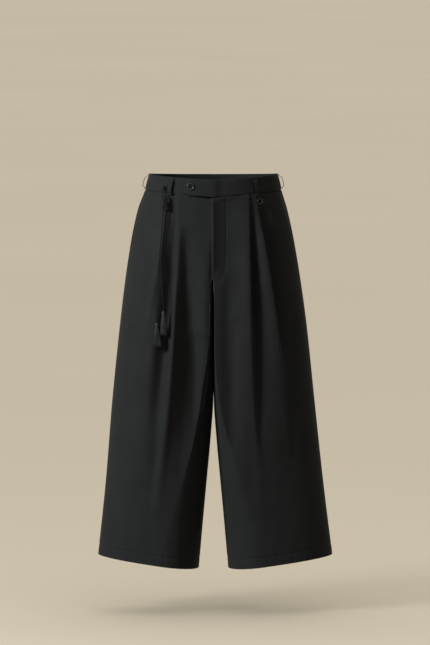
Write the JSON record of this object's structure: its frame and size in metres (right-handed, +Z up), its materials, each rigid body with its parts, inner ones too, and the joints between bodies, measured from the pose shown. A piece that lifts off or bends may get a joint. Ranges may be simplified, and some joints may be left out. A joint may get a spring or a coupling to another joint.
{
  "type": "wide-leg trousers",
  "caption": "Hollow, worn-shape pleated wide-leg trousers with a tab waistband, belt loops, slant pockets, a lapped fly and a hanging tasselled cord.",
  "frame": {"origin": "middle of the waistband ring, where the wearer's waist holds the trousers", "axes": "+Z up through the waist, -Y the wearer's front, +X the wearer's left"},
  "size_m": [0.5541, 0.2609, 0.9322],
  "materials": {
    "cloth": "fine charcoal-black wool-blend crepe with a soft dull sheen",
    "button": "polished black resin",
    "eyelet": "rolled steel ring, gunmetal plated",
    "cord": "twisted black viscose cord and thread"
  },
  "bodies": {
    "root": {"front_left": "cloth", "front_right": "cloth", "back_left": "cloth", "back_right": "cloth", "pocket_side_left": "cloth", "pocket_side_right": "cloth", "waistband_left": "cloth", "waistband_right": "cloth", "belt_loop_front_left": "cloth", "belt_loop_front_right": "cloth", "belt_loop_side_left": "cloth", "belt_loop_side_right": "cloth", "belt_loop_back": "cloth", "waist_button": "button", "small_button": "button", "eyelet": "eyelet", "cord_top_long": "cord", "cord_top_short": "cord", "cord_long": "cord", "cord_short": "cord", "cord_knot": "cord", "small_knot_long": "cord", "small_knot_short": "cord", "tassel_long": "cord", "tassel_short": "cord"}
  },
  "joints": []
}
